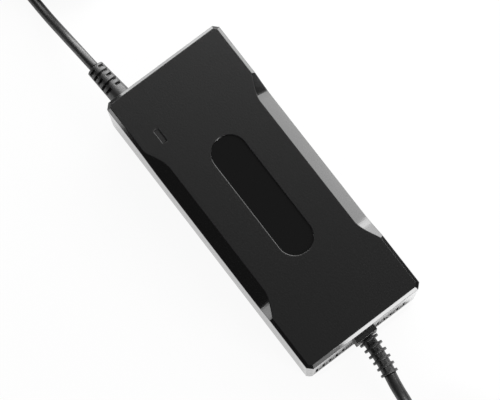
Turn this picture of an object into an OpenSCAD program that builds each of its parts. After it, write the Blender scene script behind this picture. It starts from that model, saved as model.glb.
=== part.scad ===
// Enclosed mains charger for a lithium iron phosphate battery.
// Two moulded shells hold a switch-mode circuit board. A mains lead leaves the +X end through a
// finned strain relief, and an output lead leaves the -X end. Millimetres, +Z up, origin at the
// centre of the underside.

/* [Case] */
// Length of the case
case_l = 170; // [166:1:190]
// Width of the case
case_w = 71; // [70:1:84]
// Height of the case
case_h = 42; // [41:1:52]
// Thickness of the side walls
wall = 2.2; // [1.6:0.1:2.6]
// Thickness of the top and of the floor
skin = 2.4; // [1.8:0.1:3]
// Height of the joint line between the two shells
split_z = 18; // [17:0.5:20]
// Draft of the side walls, in degrees
draft = 0.9; // [0:0.1:1.5]
// Width of the bevel round the top
bevel = 1.7; // [0.8:0.1:2]
// Leg of the flat on each upright corner
corner_flat = 2.6; // [1.5:0.1:4]
// Radius where the long walls meet the floor
foot_r = 1.5; // [0.5:0.1:2.5]
// Radius where the end walls meet the floor
end_foot_r = 5; // [0.5:0.5:5]
// Height of the tongue on the lower shell
tongue_h = 1.4; // [0.8:0.1:2]
// Thickness of that tongue
tongue_t = 0.9; // [0.6:0.1:1.2]

/* [Top face] */
// Length of the sunken panel
panel_l = 72.7; // [60:0.1:90]
// Width of the sunken panel
panel_w = 19.1; // [14:0.1:24]
// Depth of the sunken panel
panel_depth = 0.6; // [0.3:0.1:1]
// Reach of the hand scoops across the top
scoop_w = 7.1; // [5:0.1:8]
// Depth of the hand scoops down the sides
scoop_drop = 6; // [4:0.1:7]
// Length of the scoops over their full section
scoop_flat = 77; // [60:1:84]
// Whole length of the scoops
scoop_l = 120; // [96:1:124]
// Length of the indicator window
window_l = 7.9; // [6:0.1:10]
// Width of the indicator window
window_w = 2.4; // [2:0.1:4]
// Distance of the window from the output end
window_from_end = 30; // [26:0.5:34]
// Distance of the window from the -Y side
window_from_side = 13.1; // [11.5:0.1:15.5]
// Depth of the window below the top
window_recess = 0.4; // [0:0.1:0.8]

/* [Vents] */
// Slots in each group
vent_n = 5; // [3:1:5]
// Distance from slot to slot
vent_pitch = 4.15; // [3.6:0.05:4.2]
// Width of a slot
vent_w = 1.6; // [1:0.1:2]
// Height of a slot
vent_h = 14; // [6:0.5:15]
// Height of the middle of the slots
vent_z = 18.5; // [18.5:0.5:22]
// Innermost slot of the group beside the mains lead, on the -Y side
vent_minus_y = 13.4; // [12:0.1:14]
// Innermost slot of the group on the +Y side
vent_plus_y = 8.6; // [8.4:0.1:11]

/* [Mains lead] */
// Diameter of the mains lead
mains_d = 6.5; // [5:0.1:7]
// Width of the collar block at the case
collar_w = 12.4; // [11.5:0.1:14]
// Height of the collar block
collar_h = 15.4; // [12:0.1:17]
// How far the collar stands out
collar_t = 2.2; // [1:0.1:3]
// Fins on the strain relief
fin_n = 6; // [3:1:8]
// Diameter of the first fin
fin_d = 10.9; // [9:0.1:12]
// Diameter of the last fin
fin_tip_d = 9.3; // [8.6:0.1:11]
// Thickness of a fin
fin_t = 1.1; // [0.8:0.1:1.6]
// Diameter of the strain relief between fins
relief_core_d = 7; // [7:0.1:8.4]
// Width of the ribs that join the fins
relief_rib_w = 2.4; // [1.5:0.1:3.5]

/* [Output lead] */
// Diameter of the output lead
dc_d = 5.4; // [4:0.1:5.8]
// Distance of the output lead from the -Y side
dc_from_side = 12.1; // [11:0.1:15.5]
// Lean of its strain relief towards the -Y side, in degrees
dc_lean = 5; // [0:0.5:8]
// Diameter of the strain relief at the case
dc_base_d = 11.6; // [10:0.1:12]
// Length of the solid base
dc_base_l = 6; // [4:0.1:8]
// Diameter of the first ring
dc_ring_d = 11; // [9:0.1:11.2]
// Diameter of the last ring
dc_tip_d = 9.4; // [7:0.1:9.6]
// Rows of slots
dc_row_n = 5; // [2:1:5]
// Distance from row to row
dc_pitch = 2.65; // [2.2:0.05:2.7]
// Diameter inside the slots
dc_core_d = 6; // [5.8:0.1:6.6]

/* [Circuit board] */
// Thickness of the board
board_t = 1.6; // [1:0.1:2]
// Gap between the board and the side walls
board_gap = 1.4; // [0.8:0.1:2.5]
// Height of the board's standoffs above the floor
standoff_h = 3.4; // [2.5:0.1:4]
// Thickness of the insulating sheet under the board
sheet_t = 0.4; // [0.2:0.05:0.8]
// Diameter of the standoffs
standoff_d = 6; // [5:0.1:7]
// Diameter of the case screw posts
post_d = 7.4; // [7:0.1:8]
// Distance of the case screws from the end walls
post_from_end = 17; // [15:0.5:18]
// Thread diameter of the case screws
case_screw_d = 3; // [2.5:0.1:3.2]
// Head diameter of the case screws
case_screw_head = 5.4; // [5:0.1:5.6]
// Thread diameter of the board screws
board_screw_d = 2.5; // [2:0.1:3]
// Diameter of the bulk capacitor
bulk_d = 22; // [18:0.5:24]
// Height of the bulk capacitor
bulk_h = 27; // [20:0.5:28]
// Length of the transformer's core
core_l = 33; // [28:0.5:35]
// Space between the transformer's core and the top
headroom = 2.8; // [1.5:0.1:5]
// Depth of the transformer's core
core_w = 12; // [10:0.5:14]
// Outer diameter of the filter choke's ring
choke_od = 21; // [18:0.5:22]
// Outer diameter of the output choke's ring
out_choke_od = 19; // [16:0.5:20]
// Thickness of the ring cores
ring_t = 7; // [5:0.5:8]
// Length of each heat sink
sink_l = 44; // [36:1:48]
// Height of the heat sinks above the board
sink_h = 25; // [22:0.5:26]
// Thickness of the heat sinks
sink_t = 2.5; // [1.5:0.1:3]
// Diameter of the output capacitors
out_cap_d = 10; // [8:0.5:10]
// Height of the output capacitors
out_cap_h = 21; // [12:0.5:24]
// Number of output capacitors
out_cap_n = 3; // [1:1:3]

/* [Plugs] */
// Length of the mains plug's body
plug_l = 35; // [32:0.5:38]
// Width of the mains plug's body
plug_w = 26; // [25:0.5:28]
// Thickness of the mains plug's body
plug_t = 13.6; // [12:0.1:14.5]
// Length of the contact pins
pin_l = 19; // [18:0.1:19.5]
// Diameter of the contact pins
pin_d = 4; // [3.9:0.05:4.1]
// Distance between the contact pins
pin_gap = 18; // [17.5:0.1:19]
// Length of the output plug's grip
barrel_grip_l = 26; // [20:0.5:32]
// Diameter of the output plug's grip
barrel_grip_d = 10; // [9:0.1:11]
// Length of the output plug's barrel
barrel_l = 9.5; // [9:0.1:12]
// Diameter of the output plug's barrel
barrel_d = 5.5; // [5:0.1:6]
// Bore of the output plug's barrel
barrel_bore = 2.1; // [2:0.1:2.6]

/* [Hidden] */
$fn = 32;

// Clearance between moulded parts that slide together
fit = 0.1;
// Reach of a cutting tool past the material that it cuts
past = 1;
long = 400;

board_z = skin + standoff_h + sheet_t;
board_top = board_z + board_t;
inner_top = case_h - skin;
bevel_z = case_h - bevel;
end_x = case_l / 2;
panel_z = case_h - panel_depth;

// Half size of the case, at a height, under the draft of its walls
function drafted(half, z) = half - (bevel_z - z) * tan(draft);
// The board's half sizes, from the walls at the board's height
board_x = drafted(case_l / 2, board_z) - wall - board_gap;
board_y = drafted(case_w / 2, board_z) - wall - board_gap;
// Half of the distance across the flats of opposite upright corners
corner_half = (case_l / 2 + case_w / 2 - corner_flat) / sqrt(2);
post_x = case_l / 2 - post_from_end;
post_y = drafted(case_w / 2, skin) - wall - post_d / 2 + 0.2;
standoff_x = board_x - 5;
standoff_y = 14;
window_x = window_from_end - case_l / 2;
window_y = window_from_side - case_w / 2;
dc_y = dc_from_side - case_w / 2;

// The four directions in which the case is profiled: ends, sides and both diagonals. Each has its
// half size, its angle and the radius of its foot.
SIDES = [[case_l / 2, 0, end_foot_r], [case_w / 2, 90, foot_r], [corner_half, 45, foot_r],
    [corner_half, -45, foot_r]];

module outer_profile(half, foot_r) {
    foot = drafted(half, foot_r) - foot_r;
    right = concat(
        [for (a = [-90 : 15 : 0]) [foot + foot_r * cos(a), foot_r + foot_r * sin(a)]],
        [[half, bevel_z], [half - bevel, case_h]]);
    left = [for (i = [len(right) - 1 : -1 : 0]) [-right[i][0], right[i][1]]];
    polygon(concat(right, left));
}

module wall_profile(half, inset, z0, z1) {
    low = drafted(half, z0) - inset;
    high = drafted(half, z1) - inset;
    polygon([[-low, z0], [low, z0], [high, z1], [-high, z1]]);
}

// The outside of the closed case: four profiled prisms cut by each other
module case_outside() {
    intersection_for (s = SIDES)
        rotate([90, 0, s[1]])
            linear_extrude(long, center = true) outer_profile(s[0], s[2]);
}

// A slice of the case between two heights, inset from its walls
module case_slice(inset, z0, z1) {
    intersection_for (s = SIDES)
        rotate([90, 0, s[1]])
            linear_extrude(long, center = true) wall_profile(s[0], inset, z0, z1);
}

// Share of the full scoop at a place along the case: 1 in the middle, an S-curve to 0 at its end
function ease(t) = t * t * (3 - 2 * t);
function scoop_share(x) =
    ease(max(0, min(1, (scoop_l / 2 - abs(x)) / (scoop_l / 2 - scoop_flat / 2))));

scoop_steps = 20;
scoop_run = (scoop_l - scoop_flat) / 2 / scoop_steps;
scoop_xs = concat(
    [for (i = [0 : scoop_steps]) -scoop_l / 2 + i * scoop_run],
    [for (i = [0 : scoop_steps]) scoop_flat / 2 + i * scoop_run]);

// What a hand scoop removes along the +Y edge. Each section is the corner outside a sloping
// line, which slides in and out along the case. grow moves the line into the body.
module scoop(grow = 0) {
    w = scoop_w + grow;
    d = scoop_drop + grow;
    extra = 0.4;
    sections = [for (x = scoop_xs) let (s = scoop_share(x)) [
        [x, case_w / 2 - w * (s + extra) - grow * (1 - s), case_h + d * extra],
        [x, case_w / 2 + w * extra, case_h + d * extra],
        [x, case_w / 2 + w * extra, case_h - d * (s + extra) - grow * (1 - s)]]];
    last = len(sections) - 1;
    skins = [for (i = [0 : last - 1], k = [0 : 2])
        [i * 3 + k, i * 3 + (k + 1) % 3, i * 3 + 3 + (k + 1) % 3, i * 3 + 3 + k]];
    polyhedron(
        [for (s = sections) each s],
        concat([[2, 1, 0]], skins, [[last * 3, last * 3 + 1, last * 3 + 2]]),
        convexity = 4);
}

module both_sides() {
    children();
    mirror([0, 1, 0]) children();
}

module at_posts() {
    for (x = [-post_x, post_x], y = [-post_y, post_y]) translate([x, y, 0]) children();
}

module at_standoffs() {
    for (x = [-standoff_x, standoff_x], y = [-standoff_y, standoff_y])
        translate([x, y, 0]) children();
}

// A group of upright vent slots, from the innermost outwards
module vent_group(x, y0, step) {
    for (i = [0 : vent_n - 1])
        translate([x, y0 + i * step, vent_z])
            cube([wall * 4, vent_w, vent_h], center = true);
}

module vents() {
    vent_group(end_x - wall, -vent_minus_y, -vent_pitch);
    vent_group(end_x - wall, vent_plus_y, vent_pitch);
    vent_group(wall - end_x, vent_plus_y, vent_pitch);
}

// The opening that the neck of a strain relief passes through. The flange inside is wider.
neck_w = 8.6;
neck_h = 10.4;
flange_t = 1.6;
flange_over = 1.4;
dc_neck_d = 8.4;
// Where a relief's shoulder meets the leaning wall outside, and where its flange meets it inside
seat_out = drafted(case_l / 2, split_z + collar_h / 2);
seat_in = drafted(case_l / 2, split_z - neck_h / 2 - flange_over) - wall;

module relief_openings(gap) {
    translate([end_x - wall * 2, -neck_w / 2 - gap, split_z - neck_h / 2 - gap])
        cube([wall * 4, neck_w + gap * 2, neck_h + gap * 2]);
    translate([-end_x - wall * 2, dc_y, split_z])
        rotate([0, 90, 0]) cylinder(d = dc_neck_d + gap * 2, h = wall * 4);
}

module window_hole(gap) {
    translate([window_x, window_y, case_h - skin / 2])
        cube([window_l + gap * 2, window_w + gap * 2, skin * 2], center = true);
}

module panel_outline() {
    reach = (panel_l - panel_w) / 2;
    for (x = [-reach, reach]) translate([x, 0]) circle(d = panel_w, $fn = 64);
    square([reach * 2, panel_w], center = true);
}

// Where the two shells' screw posts meet, a little above the joint line
post_meet = split_z + 3;
head_depth = 3;
screw_floor = 2;
// How far the case screws reach past that, and the free depth of their holes beyond the tip
screw_reach = 9;
screw_spare = 3;

module upper_shell() {
    color("#2b2b2b") difference() {
        union() {
            difference() {
                intersection() {
                    case_outside();
                    translate([0, 0, split_z + long / 2]) cube(long, center = true);
                }
                difference() {
                    case_slice(wall, split_z - past, inner_top);
                    both_sides() scoop(wall);
                }
            }
            at_posts() translate([0, 0, post_meet])
                cylinder(d = post_d, h = inner_top - post_meet + skin / 4);
        }
        case_slice(wall - tongue_t - fit, split_z - past, split_z + tongue_h + fit);
        both_sides() scoop();
        translate([0, 0, panel_z]) linear_extrude(panel_depth + past) panel_outline();
        window_hole(fit);
        vents();
        relief_openings(fit);
        at_posts() translate([0, 0, post_meet - past])
            cylinder(d = case_screw_d - 0.5, h = screw_reach + screw_spare + past);
    }
}

module lower_shell() {
    color("#242424") difference() {
        union() {
            difference() {
                intersection() {
                    case_outside();
                    translate([0, 0, split_z - long / 2]) cube(long, center = true);
                }
                case_slice(wall, skin, split_z + past);
            }
            difference() {
                case_slice(wall - tongue_t, split_z - wall, split_z + tongue_h);
                case_slice(wall, split_z - wall * 2, split_z + tongue_h + past);
            }
            at_posts() translate([0, 0, skin / 2]) cylinder(d = post_d, h = post_meet - skin / 2);
            at_standoffs() translate([0, 0, skin / 2])
                cylinder(d = standoff_d, h = skin / 2 + standoff_h);
        }
        vents();
        relief_openings(fit);
        at_posts() translate([0, 0, -past]) cylinder(d = case_screw_head + 0.6, h = head_depth + past);
        at_posts() cylinder(d = case_screw_d + 0.4, h = post_meet + past);
        at_standoffs() translate([0, 0, screw_floor])
            cylinder(d = board_screw_d - 0.5, h = skin + standoff_h);
    }
}

// A clear moulding with a flange that is welded under the top
window_flange = 1;
window_lip = 1.2;

module indicator_window() {
    color("#dfe6ea") {
        translate([window_x, window_y, (inner_top + case_h - window_recess) / 2])
            cube([window_l, window_w, skin - window_recess], center = true);
        translate([window_x, window_y, inner_top - window_lip / 2])
            cube([window_l + window_flange * 2, window_w + window_flange * 2, window_lip],
                center = true);
    }
}

// The two indicator diodes stand side by side on a spacer, just under the window
led_d = 3;
led_pitch = 4.2;
led_h = 4.4;
led_flange = 3.6;
led_top = inner_top - window_lip - 0.3;
spacer_w = 4.6;
spacer_l = 9.4;

module led(x) {
    base = led_top - led_h;
    translate([window_x + x, window_y, base]) {
        cylinder(d = led_flange, h = 0.9);
        cylinder(d = led_d, h = led_h - led_d / 2);
        translate([0, 0, led_h - led_d / 2]) sphere(d = led_d);
    }
}

module red_led() {
    color("#c02818") led(-led_pitch / 2);
}

module green_led() {
    color("#2a9c3c") led(led_pitch / 2);
}

module led_spacer() {
    h = led_top - led_h - board_top;
    color("#1d1d1d") translate([window_x, window_y, board_top]) difference() {
        translate([0, 0, h / 2]) cube([spacer_l, spacer_w, h], center = true);
        for (x = [-led_pitch / 2, led_pitch / 2], leg = [-0.6, 0.6])
            translate([x + leg, 0, -past]) cylinder(d = 0.9, h = h + past * 2, $fn = 16);
    }
}

// Clear space round the case posts
post_clear = 0.6;

module board_outline(inset) {
    difference() {
        square([(board_x - inset) * 2, (board_y - inset) * 2], center = true);
        for (x = [-post_x, post_x], y = [-post_y, post_y])
            translate([x, y]) circle(d = post_d + post_clear * 2);
        for (x = [-standoff_x, standoff_x], y = [-standoff_y, standoff_y])
            translate([x, y]) circle(d = board_screw_d + 0.4);
    }
}

module main_board() {
    color("#2f6b3a") translate([0, 0, board_z]) linear_extrude(board_t) board_outline(0);
}

module insulating_sheet() {
    color("#e8e2c8") translate([0, 0, board_z - sheet_t])
        linear_extrude(sheet_t) board_outline(1);
}

// Places of the parts on the board. Those near an end or an edge are measured from it, and the
// row of large parts between the ends keeps its share of the board's length.
fuse_x = board_x * 0.728;
fuse_y = 10.4 - board_y;
thermistor_x = board_x - 13;
thermistor_y = 14;
x_cap_x = board_x - 26;
x_cap_y = 1;
choke_x = board_x - 43;
choke_y = 1;
bridge_x = board_x * 0.432;
bridge_y = 11.4 - board_y;
bulk_x = board_x * 0.124;
bulk_y = bulk_d / 2 + 3.4 - board_y;
core_x = -16;
core_y = 4;
sink_y = board_y - 5;
primary_x = board_x * 0.33;
secondary_x = board_x * -0.43;
out_cap_x = 13 - board_x;
out_choke_x = 30 - board_x;
out_choke_y = 3;

// Glass tube fuse between two spring clips
fuse_l = 20;
fuse_d = 5;
fuse_cap_d = 5.2;
fuse_cap_l = 5;
fuse_z = board_top + 5;

module mains_fuse() {
    color("#d8dcdc") translate([fuse_x, fuse_y, fuse_z]) rotate([0, 90, 0]) {
        cylinder(d = fuse_d, h = fuse_l, center = true);
        for (z = [-1, 1]) translate([0, 0, z * (fuse_l - fuse_cap_l) / 2])
            cylinder(d = fuse_cap_d, h = fuse_cap_l, center = true);
    }
}

module fuse_clips() {
    clip_t = 0.5;
    clip_w = 4;
    color("#b9bcc0") for (s = [-1, 1])
        translate([fuse_x + s * (fuse_l - fuse_cap_l) / 2, fuse_y, 0]) difference() {
            union() {
                translate([0, 0, fuse_z]) rotate([0, 90, 0])
                    cylinder(d = fuse_cap_d + clip_t * 2, h = clip_w, center = true);
                translate([0, 0, (board_top + fuse_z) / 2])
                    cube([clip_w, 2.4, fuse_z - board_top], center = true);
            }
            translate([0, 0, fuse_z]) rotate([0, 90, 0])
                cylinder(d = fuse_cap_d, h = clip_w + past, center = true);
            translate([0, 0, fuse_z + fuse_cap_d / 2 + 1.2])
                cube([clip_w + past, fuse_cap_d + 2, fuse_cap_d - 0.8], center = true);
        }
}

// A disc on two legs, standing across the board
module leaded_disc(x, y, d, t, legs, lift) {
    translate([x, y, board_top + lift + d / 2]) rotate([0, 90, 0])
        cylinder(d = d, h = t, center = true);
    for (s = [-1, 1]) translate([x, y + s * legs / 2, board_top])
        cylinder(d = 0.8, h = lift + d / 2, $fn = 16);
}

module inrush_thermistor() {
    color("#2d3b30") leaded_disc(thermistor_x, thermistor_y, 13, 4.6, 7.5, 2);
}

module y_capacitor() {
    color("#2c63a8") leaded_disc(core_x, -board_y + 8.5, 8, 3.6, 6, 2);
}

module x_capacitor() {
    color("#e0b020") translate([x_cap_x, x_cap_y, board_top + 8])
        cube([9, 18, 16], center = true);
}

// A ring core standing on edge in a groove of its base
module ring_core(x, y, od, id, base_w) {
    translate([x, y, board_top + 1 + od / 2]) rotate([0, 90, 0])
        rotate_extrude() translate([(od + id) / 4, 0])
            square([(od - id) / 2, ring_t], center = true);
    translate([x, y, board_top + 1]) difference() {
        cube([base_w, od * 0.7, 2], center = true);
        translate([0, 0, od / 2]) rotate([0, 90, 0]) cylinder(d = od, h = base_w + past, center = true);
    }
}

// One turn of enamelled wire, wrapped round a ring core at an angle
module turn(x, y, od, id, angle, wire) {
    w = ring_t + fit;
    h = (od - id) / 2 + fit;
    translate([x, y, board_top + 1 + od / 2]) rotate([angle, 0, 0])
        translate([0, 0, (od + id) / 4]) rotate([90, 0, 0])
            linear_extrude(wire, center = true) difference() {
                square([w + wire * 2, h + wire * 2], center = true);
                square([w, h], center = true);
            }
}

choke_id = choke_od * 0.55;
out_choke_id = out_choke_od * 0.5;
choke_wire = 0.9;
out_wire = 1.3;

module filter_choke_core() {
    color("#5a7d54") ring_core(choke_x, choke_y, choke_od, choke_id, ring_t + 4);
}

module filter_choke_windings() {
    color("#b4602a") for (side = [90, 270], i = [-3 : 3])
        turn(choke_x, choke_y, choke_od, choke_id, side + i * 13, choke_wire);
}

module output_choke_core() {
    color("#cfc24a") ring_core(out_choke_x, out_choke_y, out_choke_od, out_choke_id, ring_t + 4);
}

module output_choke_winding() {
    color("#b4602a") for (i = [-5 : 5])
        turn(out_choke_x, out_choke_y, out_choke_od, out_choke_id, i * 22, out_wire);
}

// A four-legged rectifier block with one chamfered corner
module bridge_rectifier() {
    color("#262626") {
        translate([bridge_x, bridge_y, board_top + 3]) rotate([90, 0, 0])
            linear_extrude(5, center = true)
                polygon([[-10, 0], [10, 0], [10, 15], [-6, 15], [-10, 11]]);
        for (i = [-1.5 : 1.5]) translate([bridge_x + i * 5, bridge_y, board_top + 1.5])
            cube([1, 0.8, 3], center = true);
    }
}

// A can with the rolled groove under its rim
module can(d, h) {
    rotate_extrude() polygon([[0, 0], [d / 2, 0], [d / 2, 2], [d / 2 - 0.6, 2.6],
        [d / 2, 3.2], [d / 2, h - 0.6], [d / 2 - 0.6, h], [0, h]]);
}

module bulk_capacitor() {
    color("#20242c") translate([bulk_x, bulk_y, board_top]) can(bulk_d, bulk_h);
}

module output_capacitors() {
    color("#1f3a5c") for (i = [0 : out_cap_n - 1])
        translate([out_cap_x, 18 - i * (out_cap_d + 0.6), board_top])
            can(out_cap_d, out_cap_h);
}

// Bent aluminium plate: an upright with a foot, and holes for the screw of its transistor
module heat_sink(x) {
    foot = 5;
    translate([x, sink_y, board_top]) difference() {
        union() {
            translate([-sink_l / 2, 0, 0]) cube([sink_l, sink_t, sink_h]);
            translate([-sink_l / 2, sink_t - foot, 0]) cube([sink_l, foot, sink_t * 0.6]);
        }
        translate([0, -past, tab_hole_z - board_top]) rotate([-90, 0, 0])
            cylinder(d = 3.2, h = sink_t + past * 2);
        for (s = [-1, 1]) translate([s * sink_l * 0.36, -past, sink_h * 0.7])
            rotate([-90, 0, 0]) cylinder(d = 5, h = sink_t + past * 2);
    }
}

// A power package: body, metal tab with its hole, and three legs down to the board
package_w = 10;
package_h = 9.2;
tab_h = 6.4;
package_z = board_top + 5;
tab_hole_z = package_z + package_h + 3;
pad_t = 0.3;
pad_over = 1;

module power_package(x) {
    face = sink_y - pad_t;
    difference() {
        union() {
            translate([x - package_w / 2, face - 4.5, package_z])
                cube([package_w, 4.5, package_h]);
            translate([x - package_w / 2, face - 1.3, package_z + package_h])
                cube([package_w, 1.3, tab_h]);
            for (i = [-1 : 1]) translate([x + i * 2.54 - 0.4, face - 3.2, board_top])
                cube([0.8, 0.6, package_z - board_top]);
        }
        translate([x, face - 5, tab_hole_z]) rotate([-90, 0, 0]) cylinder(d = 3.6, h = 6);
    }
}

module power_transistor() {
    color("#1c1c1c") power_package(primary_x);
}

module output_diode() {
    color("#1c1c1c") power_package(secondary_x);
}

module insulating_pads() {
    color("#c8ccd0") for (x = [primary_x, secondary_x])
        translate([x - package_w / 2 - pad_over, sink_y - pad_t, package_z - pad_over]) difference() {
            cube([package_w + pad_over * 2, pad_t, package_h + tab_h + pad_over * 2]);
            translate([package_w / 2 + pad_over, -past, tab_hole_z - package_z + pad_over])
                rotate([-90, 0, 0]) cylinder(d = 3.2, h = pad_t + past * 2);
        }
}

module heat_sink_screws() {
    seat = sink_y - pad_t - 1.3;
    color("#a8abb0") for (x = [primary_x, secondary_x])
        translate([x, seat, tab_hole_z]) rotate([90, 0, 0]) {
            difference() {
                cylinder(d = 5.4, h = 2);
                translate([0, 0, 1]) for (a = [0, 90]) rotate(a)
                    cube([3, 0.7, 2.2], center = true);
            }
            translate([0, 0, -pad_t - 1.3 - sink_t]) cylinder(d = 3, h = pad_t + 1.3 + sink_t);
        }
}

// Two E-shaped halves that meet in the middle, with the winding on their shared limb
core_limb = core_l * 0.3;
core_window = core_l * 0.23;
core_z = board_top + 2;
core_h = inner_top - core_z - headroom;
core_yoke = core_h * 0.17;
bobbin_t = 1;

module transformer_core() {
    color("#3a3a3e") translate([core_x, core_y, core_z + core_h / 2]) difference() {
        cube([core_l, core_w, core_h], center = true);
        for (s = [-1, 1]) translate([s * (core_limb + core_window) / 2, 0, 0])
            cube([core_window, core_w + past, core_h - core_yoke * 2], center = true);
    }
}

module limb_ring(inner, outer, h) {
    linear_extrude(h, center = true) difference() {
        square([core_limb + outer * 2, core_w + outer * 2], center = true);
        square([core_limb + inner * 2, core_w + inner * 2], center = true);
    }
}

module transformer_bobbin() {
    h = core_h - core_yoke * 2 - 0.4;
    flange = core_window - 0.6;
    color("#20201e") translate([core_x, core_y, core_z + core_h / 2]) {
        limb_ring(fit, bobbin_t, h);
        for (s = [-1, 1]) translate([0, 0, s * (h / 2 - bobbin_t / 2)])
            limb_ring(fit, flange, bobbin_t);
    }
    rail_y = core_w / 2 + flange - 1;
    color("#20201e") for (s = [-1, 1]) translate([core_x, core_y + s * rail_y, board_top]) {
        rail_h = core_z - board_top + core_yoke + 0.2 + bobbin_t;
        translate([-core_limb, -1, 0]) cube([core_limb * 2, 2, rail_h]);
    }
}

module transformer_winding() {
    h = core_h - core_yoke * 2 - 0.4 - bobbin_t * 2 - 0.2;
    color("#d8b838") translate([core_x, core_y, core_z + core_h / 2])
        limb_ring(bobbin_t + fit, core_window - 1.6, h);
}

module secondary_heat_sink() {
    color("#b8bcc0") heat_sink(secondary_x);
}

module primary_heat_sink() {
    color("#b8bcc0") heat_sink(primary_x);
}

// A chip with two rows of bent legs
module dip(x, y, pins, w) {
    l = pins / 2 * 2.54;
    translate([x, y, board_top]) {
        translate([-l / 2, -w / 2, 0.5]) cube([l, w, 3.2]);
        for (i = [0 : pins / 2 - 1], s = [-1, 1])
            translate([(i + 0.5) * 2.54 - l / 2 - 0.6, s > 0 ? w / 2 : -w / 2 - 0.5, 0])
                cube([1.2, 0.5, 2.2]);
    }
}

module control_chip() {
    color("#1a1a1a") dip(board_x - 30, 16, 8, 6.4);
}

module optocoupler() {
    color("#ecece8") dip(core_x - 12, -board_y + 9, 4, 6.4);
}

// Insulated wires that come in level from a strain relief and bend down to the board
module lead_in(x, y, side, d, reach) {
    bend_r = 4;
    drop = split_z - bend_r - board_top;
    translate([x, y, split_z]) rotate([0, -90 * side, 0]) rotate(side > 0 ? 0 : 180) {
        cylinder(d = d, h = reach);
        translate([-bend_r, 0, reach]) rotate([90, 0, 0]) rotate_extrude(angle = 90)
            translate([bend_r, 0]) circle(d = d);
    }
    translate([x - side * (reach + bend_r), y, board_top]) cylinder(d = d, h = drop);
}

flange_x = seat_in - flange_t;
wire_pitch = 3;

module mains_wires() {
    color("#7a4a2a") for (s = [-1, 1])
        lead_in(flange_x, s * wire_pitch / 2, 1, 2.2, 1.2);
}

module output_wires() {
    color("#a02020") for (s = [-1, 1])
        lead_in(-flange_x, dc_y + s * wire_pitch / 2, -1, 2.4, 1.2);
}

module pan_screw(d, head, head_h, l) {
    difference() {
        union() {
            cylinder(d = head, h = head_h);
            cylinder(d = d, h = head_h + l);
        }
        for (a = [0, 90]) rotate(a) cube([head * 0.6, 0.8, head_h], center = true);
    }
}

module board_screws() {
    color("#b0a060") at_standoffs() translate([0, 0, board_top + 1.8])
        mirror([0, 0, 1]) pan_screw(board_screw_d - 0.5, 4.6, 1.8, board_t + sheet_t + 2.4);
}

module case_screws() {
    color("#8a8d92") at_posts() translate([0, 0, head_depth - 2.2])
        pan_screw(case_screw_d - 0.5, case_screw_head, 2.2,
            post_meet - head_depth + screw_reach);
}

// A wound coil: the distance between its turns, the thickness of the ties that it rests on, and
// their arc in degrees
mains_pitch = mains_d + 0.1;
dc_coil_pitch = dc_d + 0.1;
tie_t = 1;
tie_turn = 10;
// Arc over which the lead merges with its outer turn
merge_arc = 50;
// Radius at which the outer and the inner turns of a coil meet
mains_coil_r = 32.7;
dc_coil_r = 27.5;
// Angles about a coil's middle at which the lead comes in below and goes out above
mains_entry = -118;
mains_exit = -75;
dc_entry = -90;
dc_exit = -86;
mains_turn_r = mains_coil_r + mains_pitch / 2;
dc_turn_r = dc_coil_r + dc_coil_pitch / 2;
mains_coil_x = 98;
dc_coil_x = 100;
// Where the output lead meets its coil, across from its hole
dc_join_y = -4.6;
dc_coil_y = dc_y + dc_join_y + dc_turn_r;

// The mains lead's route. The first point is on the strain relief's tip and the last is on the
// coil. X is measured from the end of the case.
mains_route = [[23.5, -2, split_z], [29.2, -3.07, split_z], [34.9, -3.7, 17.2],
    [40.4, -4.2, 15.2], [45.4, -5.4, 12.5], [50.1, -7.4, 9.7], [54.4, -10.5, 7.2],
    [58.4, -14.3, 5.3], [62.3, -18.4, 4.4], [66.4, -22.6, 4.3], [70.9, -26.1, 4.3],
    [75.9, -29, 4.3], [mains_coil_x + mains_turn_r * cos(mains_entry),
        mains_turn_r * sin(mains_entry), tie_t + mains_pitch / 2]];
// A point on the output lead's leaning line, at a distance from the end of the case
function dc_straight(x) = [x, -(x + end_x - seat_out) * tan(dc_lean), split_z];
// The output lead's route, measured out from the other end of the case. Y is from its hole.
dc_route = [dc_straight(24), dc_straight(30), [37, -3.1, 16.8], [45, -3.5, 14],
    [53, -3.8, 10.6], [61, -4.1, 7.4], [70, -4.3, 5], [80, -4.5, 3.9], [90, dc_join_y, 3.75],
    [dc_coil_x, dc_join_y, tie_t + dc_coil_pitch / 2]];
// The ends of the leads beyond the coils, as distance and height
mains_tail_l = 40;
mains_tail = [[0, tie_t + mains_pitch * 1.5], [8, tie_t + mains_pitch * 1.5],
    [16, tie_t + mains_pitch * 1.5], [22, 10.2], [27, 8.7], [32, 7.2],
    [36, plug_t / 2], [mains_tail_l, plug_t / 2]];
dc_tail_l = 34;
dc_tail = [[0, tie_t + dc_coil_pitch * 1.5], [7, tie_t + dc_coil_pitch * 1.5],
    [13, tie_t + dc_coil_pitch * 1.5], [18, 8.6], [23, 7], [27, 5.7],
    [31, barrel_grip_d / 2], [dc_tail_l, barrel_grip_d / 2]];

// The mains strain relief bends evenly from the collar's face to the first point of the route
mains_tip = mains_route[0];
relief_run = mains_tip[0] - collar_t + end_x - seat_out;
relief_turn = 2 * atan(-mains_tip[1] / relief_run);
relief_r = relief_run / sin(relief_turn);
fin_start = 1.6;

module along_relief(angle) {
    translate([seat_out + collar_t, -relief_r, split_z])
        rotate(-angle) translate([0, relief_r, 0]) children();
}

module relief_sweep() {
    translate([seat_out + collar_t, -relief_r, split_z]) rotate(90 - relief_turn)
        rotate_extrude(angle = relief_turn, $fn = 720) translate([relief_r, 0]) children();
}

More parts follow.
